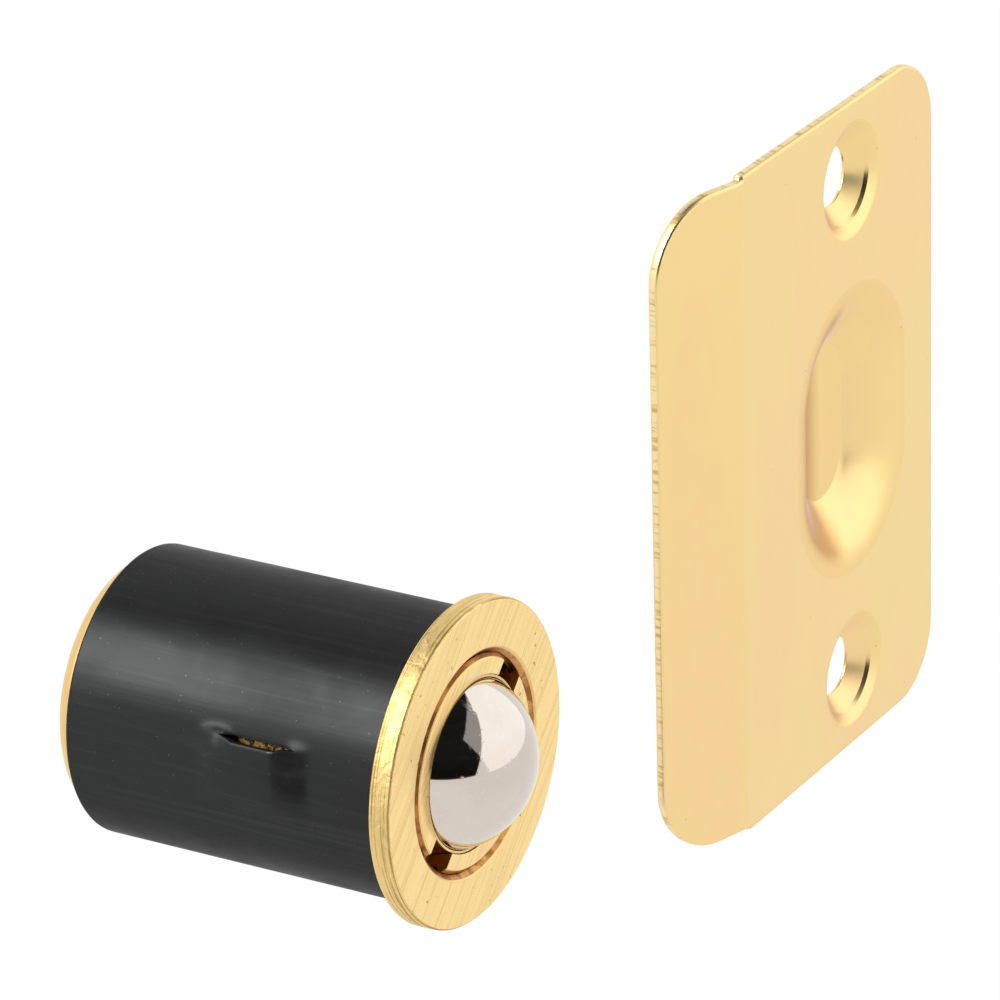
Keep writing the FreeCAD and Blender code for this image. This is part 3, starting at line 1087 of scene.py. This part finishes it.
# faces of the slit lips that take the lighter black with its painted highlight
def isWornAndLitLip(at, way):
    # the bevelled lips look half outwards, half along the barrel's girth
    outward = abs(way.y * at.y + way.z * at.z) / radiusOf(at)
    inside = insideSlit(at.x)
    return nearSlit(at) and inside > sleeveSizes["wornAndLitLength"] and 0.3 < outward < 0.93


# the strike plate: a sheet with a pocket, two dimpled holes and a bent lip

strikeSizes = {
    "faceX": 29.1,
    "sheet": 1.0,
    "bendY": -2.05,
    "edgeY": 30.95,
    "bottom": 0.9,
    "top": 58.05,
    "corner": 6.0,
    "cornerSteps": 14,
    "lipStep": 0.35,
    "lipCorner": 6.5,
    "lipLength": 8.85,
    "lipTurn": 16.0,
    "bendRadius": 4.0,
    "bendSteps": 8,
    "featureY": 16.4,
    "holesZ": (7.63, 51.32),
    "halfStraight": 3.1,
    "rimRound": 0.3,
    "pocketRadius": 9.6,
    "pocketWall": 5.9,
    "pocketDepth": 3.0,
    "pocketSteepens": 1.8,
    "pocketSteps": 16,
    "pocketSides": 96,
    "dimpleSides": 72,
    "arcSteps": (3, 4),
    "pocketFoot": ((3.9, 2.83, 0), (3.7, 3.0, 0.12), (2.4, 3.0, 0)),
    "dimple": ((5.9, 0.0, 0), (4.9, 0.0, 0.9), (4.0, 0.48, 0.03), (3.82, 0.8, 0.03),
               (2.5, 1.95, 0.05), (2.5, 2.3, 0)),
    "shearedBand": 7.0,
    "shearedEdge": 0.4,
    "shearedLip": -8.0,
    # across the plate, where the recess walls take the copy with painted shade
    "recessShadeSpan": (6.0, 27.0),
}


def roundedPath(corners, steps):
    # stations through the corners, with an arc at each rounded one
    path = [corners[0][:2]]
    for i in range(1, len(corners) - 1):
        radius, depth, rounding = corners[i]
        here = Vector((radius, depth))
        before = (Vector(corners[i - 1][:2]) - here).normalized()
        after = (Vector(corners[i + 1][:2]) - here).normalized()
        opening = before.angle(after)
        reach = rounding / math.tan(opening / 2)
        middle = (before + after).normalized()
        centre = here + middle * (rounding / math.sin(opening / 2))
        first = here + before * reach - centre
        last = here + after * reach - centre
        sweep = first.angle(last)
        sign = 1 if first.cross(last) > 0 else -1
        for k in range(steps + 1):
            turn = Matrix.Rotation(sign * sweep * k / steps, 2)
            path.append(tuple(centre + turn @ first))
    path.append(corners[-1][:2])
    return path


def onFace(centre, depth=0.0):
    # a spot on the plate's front or below it, on the line of its pocket and holes
    return ((strikeSizes["faceX"] - depth) * mm, strikeSizes["featureY"] * mm, centre * mm)


def sinkLoop(path, centres):
    # extrudes the picked loop inwards, each half scaled about its own centre
    radius, depth = path[0]
    middle = sum(centres) / len(centres)
    for nextRadius, nextDepth in path[1:]:
        bpy.ops.mesh.extrude_edges_move(
            TRANSFORM_OT_translate={"value": ((depth - nextDepth) * mm, 0, 0)})
        loop = selectedPoints()
        scale = nextRadius / radius
        for centre in centres:
            keepPoints(loop, lambda point: len(centres) == 1
                       or (point.z > middle) == (centre > middle))
            bpy.ops.transform.resize(
                value=(1, scale, scale), center_override=onFace(centre, nextDepth))
        keepPoints(loop, lambda point: True)
        radius, depth = nextRadius, nextDepth


def strikePlate():
    size = strikeSizes
    clearSelection()
    bend, edge, bottom, top = (size[key] for key in ("bendY", "edgeY", "bottom", "top"))
    middleY, middleZ = (bend + edge) / 2, (bottom + top) / 2
    middle = (size["faceX"] * mm, middleY * mm, middleZ * mm)
    bpy.ops.mesh.primitive_plane_add(size=mm, location=middle, rotation=(0, math.pi / 2, 0))
    piece = openPiece("strikePlate")
    selectAll()
    bpy.ops.transform.resize(value=(1, edge - bend, top - bottom), center_override=middle)
    # the two far corners, then the small step where the lip begins
    pickPoints(lambda point: point.y > middleY)
    roundCorners(size["corner"])
    pickEdges(lambda point: point.y < bend + 0.01)
    bpy.ops.mesh.subdivide(number_cuts=2)
    for low, high, target in ((bottom + 1, middleZ, bottom + size["lipStep"]),
                              (middleZ, top - 1, top - size["lipStep"])):
        pickPoints(lambda point: point.y < bend + 0.01 and low < point.z < high)
        mesh = bmesh.from_edit_mesh(piece.data)
        height = [point.co.z / mm for point in mesh.verts if point.select][0]
        bpy.ops.transform.translate(value=(0, 0, (target - height) * mm))
    selectAll()
    bpy.ops.mesh.delete(type="ONLY_FACE")
    cutOpenings(middleZ)
    bendLip()
    selectAll()
    bpy.ops.mesh.normals_make_consistent(inside=False)
    faceForward(piece)
    applyModifier("SOLIDIFY", thickness=size["sheet"] * mm, offset=-1.0, use_even_offset=True,
                  use_quality_normals=True, use_rim=True)
    applyModifier("BEVEL", width=size["rimRound"] * mm, segments=3, limit_method="ANGLE",
                  angle_limit=math.radians(60), use_clamp_overlap=False)
    addFinishes(piece, "plated", "sheared", "recessShade")
    selectAll()
    band = size["shearedBand"]
    first, last = size["recessShadeSpan"]
    paintFaces("sheared", lambda at, way: abs(way.x) < 0.3
               and (at.z > top - band or at.z < bottom + band or at.y < size["shearedLip"]
                    or at.y > edge - size["shearedEdge"])
               and all(awayFrom(at, centre) > band for centre in size["holesZ"]))
    # the sunk walls of the pocket and holes get the plating with painted shade
    paintFaces("recessShade", lambda at, way: way.x > 0.2 and at.x < size["faceX"] - 0.01
               and first < at.y < last)
    finishPiece(piece, "case", ["strike_plate"], angle=28)
    piece.visible_glossy = False  # the ball mirrors the lamps, not this plate


def roundCorners(radius):
    bpy.ops.mesh.bevel(offset=radius * mm, offset_type="OFFSET", affect="VERTICES",
                       segments=strikeSizes["cornerSteps"], clamp_overlap=False)


def awayFrom(point, centre):
    # distance, on the plate, from a spot on the line of its pocket and holes
    return math.hypot(point.y - strikeSizes["featureY"], point.z - centre)


def cutOpenings(middleZ):
    # fills the sheet round its three openings and sinks each of them
    size = strikeSizes
    steps = size["pocketSteps"]
    # the pocket's walls steepen all the way down to its floor
    pocket = []
    for k in range(steps):
        down = size["pocketDepth"] * (k / steps) ** size["pocketSteepens"]
        pocket.append((size["pocketRadius"] - size["pocketWall"] * k / steps, down))
    pocket += roundedPath(size["pocketFoot"], size["arcSteps"][0])[1:]
    dimple = roundedPath(size["dimple"], size["arcSteps"][1])
    outlines = []
    holes = [(centre, dimple, size["dimpleSides"]) for centre in size["holesZ"]]
    for centre, path, points in ((middleZ, pocket, size["pocketSides"]), *holes):
        bpy.ops.mesh.primitive_circle_add(
            vertices=points, radius=path[0][0] * mm, rotation=(0, math.pi / 2, 0),
            location=onFace(centre))
        # half a step of turn, so that no point sits on the level centre line
        bpy.ops.transform.rotate(
            value=math.pi / points, orient_axis="X", center_override=onFace(centre))
        outlines.append(selectedPoints())
    half = size["halfStraight"]
    keepPoints(outlines[0], lambda point: point.z > middleZ)
    bpy.ops.transform.translate(value=(0, 0, half * mm))
    keepPoints(outlines[0], lambda point: point.z < middleZ)
    bpy.ops.transform.translate(value=(0, 0, -half * mm))
    selectAll()
    bpy.ops.mesh.fill(use_beauty=True)

    def onSlot(point):
        up = max(abs(point.z - middleZ) - half, 0)
        return abs(math.hypot(point.y - size["featureY"], up) - pocket[0][0]) < 0.05
    pickPoints(onSlot)
    sinkLoop(pocket, (middleZ + half, middleZ - half))
    bpy.ops.mesh.edge_face_add()
    for centre in size["holesZ"]:
        pickPoints(lambda point: abs(awayFrom(point, centre) - dimple[0][0]) < 0.02)
        sinkLoop(dimple, (centre,))


def faceForward(piece):
    # the sheet's front must look along +X before it gets its thickness
    mesh = bmesh.from_edit_mesh(piece.data)
    if sum(face.normal.x * face.calc_area() for face in mesh.faces) < 0:
        bpy.ops.mesh.flip_normals()


def bendLip():
    # spins the sheet's near edge round the bend, then draws the straight lip
    size = strikeSizes
    bend = size["bendY"]
    low = size["bottom"] + size["lipStep"] - 0.01
    high = size["top"] - size["lipStep"] + 0.01
    pickEdges(lambda point: abs(point.y - bend) < 0.01 and low < point.z < high)
    turn = math.radians(size["lipTurn"])
    bpy.ops.mesh.spin(steps=size["bendSteps"], angle=turn, axis=(0, 0, 1),
                      center=((size["faceX"] - size["bendRadius"]) * mm, bend * mm, 0))
    back = Vector((-math.sin(turn), -math.cos(turn), 0)) * size["lipLength"] * mm
    bpy.ops.mesh.extrude_edges_move(TRANSFORM_OT_translate={"value": back})
    bpy.ops.mesh.select_mode(type="VERT")
    roundCorners(size["lipCorner"])


barrelCase()
caseThread()
adjustingRing()
ballCup()
catchBall()
ballSpring()
outerSleeve()
strikePlate()


# studio: pale floor, soft lamps and the camera

studio = {
    "floorDrop": 40.0,
    "floorSize": 8.0,
    "floorColour": (0.86, 0.86, 0.86),
    "floorRoughness": 0.9,
    "floorShine": 0.1,
    "white": (1.0, 1.0, 1.0),
    "glowStrength": 1.03,
    "skyStrength": 0.55,
    "whiteShare": 0.94,
    "cardColour": (0.03, 0.03, 0.03),
    "lamps": {
        "sideSoftbox": {"energy": 1.0, "size": (1.10, 0.72), "around": 38.0, "up": 30.0, "away": 0.5},
        "leftLamp": {"energy": 2.7, "size": (0.36, 0.36), "around": -127.0, "up": 41.0, "away": 0.6},
    },
    "cards": {
        "frontCard": {"size": (2.0, 2.3), "around": -60.0, "up": 42.0, "away": 0.95},
        "overheadCard": {"size": (1.0, 1.0), "around": 150.0, "up": 84.0, "away": 0.9},
        "lowCard": {"size": (0.036, 0.034), "around": -96.0, "up": -20.0, "away": 0.073},
    },
}


def whiteShown(tree):
    # one where a ray comes from the camera, a reflection or clear glass
    rays = put(tree, "ShaderNodeLightPath").outputs
    seen = combine(tree, "MAXIMUM", rays["Is Camera Ray"], rays["Is Glossy Ray"])
    return combine(tree, "MAXIMUM", seen, rays["Is Transmission Ray"])


def mixShaders(tree, share, first, second, output):
    mix = put(tree, "ShaderNodeMixShader")
    for socket, source in zip(mix.inputs, (share, first, second)):
        tree.links.new(source, socket)
    tree.links.new(mix.outputs[0], tree.nodes[output].inputs["Surface"])


def paleFloor():
    clearSelection()
    bpy.ops.mesh.primitive_plane_add(
        size=studio["floorSize"], location=(0, 0, -studio["floorDrop"] * mm))
    floor = bpy.context.object
    floor.name = "studioFloor"
    bpy.ops.object.transform_apply(location=True, rotation=True, scale=True)
    material = bpy.data.materials.new("paleFloorPaper")
    material.use_nodes = True
    tree = material.node_tree
    paper = feed(tree, tree.nodes["Principled BSDF"], Base_Color=studio["floorColour"],
                 Roughness=studio["floorRoughness"], Specular_IOR_Level=studio["floorShine"])
    glow = feed(tree, put(tree, "ShaderNodeEmission"), Color=studio["white"],
                Strength=studio["glowStrength"])
    # a small share of the paper stays, so that it keeps the object's shadow
    share = combine(tree, "MULTIPLY", whiteShown(tree), studio["whiteShare"])
    mixShaders(tree, share, paper[0], glow[0], "Material Output")
    floor.data.materials.append(material)


def whiteWorld():
    world = bpy.data.worlds.new("studioWorld")
    bpy.context.scene.world = world
    world.use_nodes = True
    tree = world.node_tree
    soft = feed(tree, tree.nodes["Background"], Color=studio["white"],
                Strength=studio["skyStrength"])
    shown = feed(tree, put(tree, "ShaderNodeBackground"), Color=studio["white"], Strength=1.0)
    mixShaders(tree, whiteShown(tree), soft[0], shown[0], "World Output")


def facingObject(spot):
    # a place round the object, turned to look back at it
    around, up = math.radians(spot["around"]), math.radians(spot["up"])
    way = Vector((math.cos(around) * math.cos(up), math.sin(around) * math.cos(up), math.sin(up)))
    turn = way.to_track_quat("Z", "Y").to_matrix().to_4x4()
    return Matrix.Translation(way * spot["away"]) @ turn


def softLamp(name, spot):
    light = bpy.data.lights.new(name, "AREA")
    light.shape = "RECTANGLE"
    light.size, light.size_y = spot["size"]
    light.energy = spot["energy"]
    lamp = bpy.data.objects.new(name, light)
    lamp.matrix_world = facingObject(spot)
    bpy.context.collection.objects.link(lamp)


def darkCard(name, spot):
    # black card seen only by the metal and never by the camera
    clearSelection()
    bpy.ops.mesh.primitive_plane_add(size=1.0)
    card = bpy.context.object
    card.name = name
    card.scale = (*spot["size"], 1.0)
    bpy.ops.object.transform_apply(scale=True)
    card.data.transform(facingObject(spot))
    material = bpy.data.materials.new("blackCard")
    material.use_nodes = True
    tree = material.node_tree
    feed(tree, tree.nodes["Principled BSDF"], Base_Color=studio["cardColour"], Roughness=1.0,
         Specular_IOR_Level=0.0)
    card.data.materials.append(material)
    card.visible_camera = False
    card.visible_shadow = False


photoCamera = {
    "azimuth": 30.665,
    "elevation": 23.916,
    "roll": -1.628,
    "distance": 558.006,
    "shift": (-3.695, -21.782),
    "focal": 6649.865,
    "frame": 1000.0,
    "sensor": 36.0,
    "clipStart": 0.01,
}


def placeCamera():
    look = photoCamera
    around, up, roll = (math.radians(look[key]) for key in ("azimuth", "elevation", "roll"))
    back = Vector((math.sin(around) * math.cos(up), -math.cos(around) * math.cos(up), math.sin(up)))
    level = Vector((0, 0, 1)).cross(back).normalized()
    above = back.cross(level)
    right = math.cos(roll) * level + math.sin(roll) * above
    top = -math.sin(roll) * level + math.cos(roll) * above
    place = back * look["distance"] - right * look["shift"][0] - top * look["shift"][1]
    data = bpy.data.cameras.new("photoCamera")
    data.sensor_width = look["sensor"]
    data.lens = look["focal"] * look["sensor"] / look["frame"]
    data.clip_start = look["clipStart"]
    camera = bpy.data.objects.new("photoCamera", data)
    turn = Matrix((right, top, back)).transposed()
    camera.matrix_world = Matrix.Translation(place * mm) @ turn.to_4x4()
    bpy.context.collection.objects.link(camera)
    bpy.context.scene.camera = camera


paleFloor()
whiteWorld()
for name, spot in studio["lamps"].items():
    softLamp(name, spot)
for name, spot in studio["cards"].items():
    darkCard(name, spot)
placeCamera()
bpy.context.scene.view_settings.view_transform = "Standard"
print("studio set")
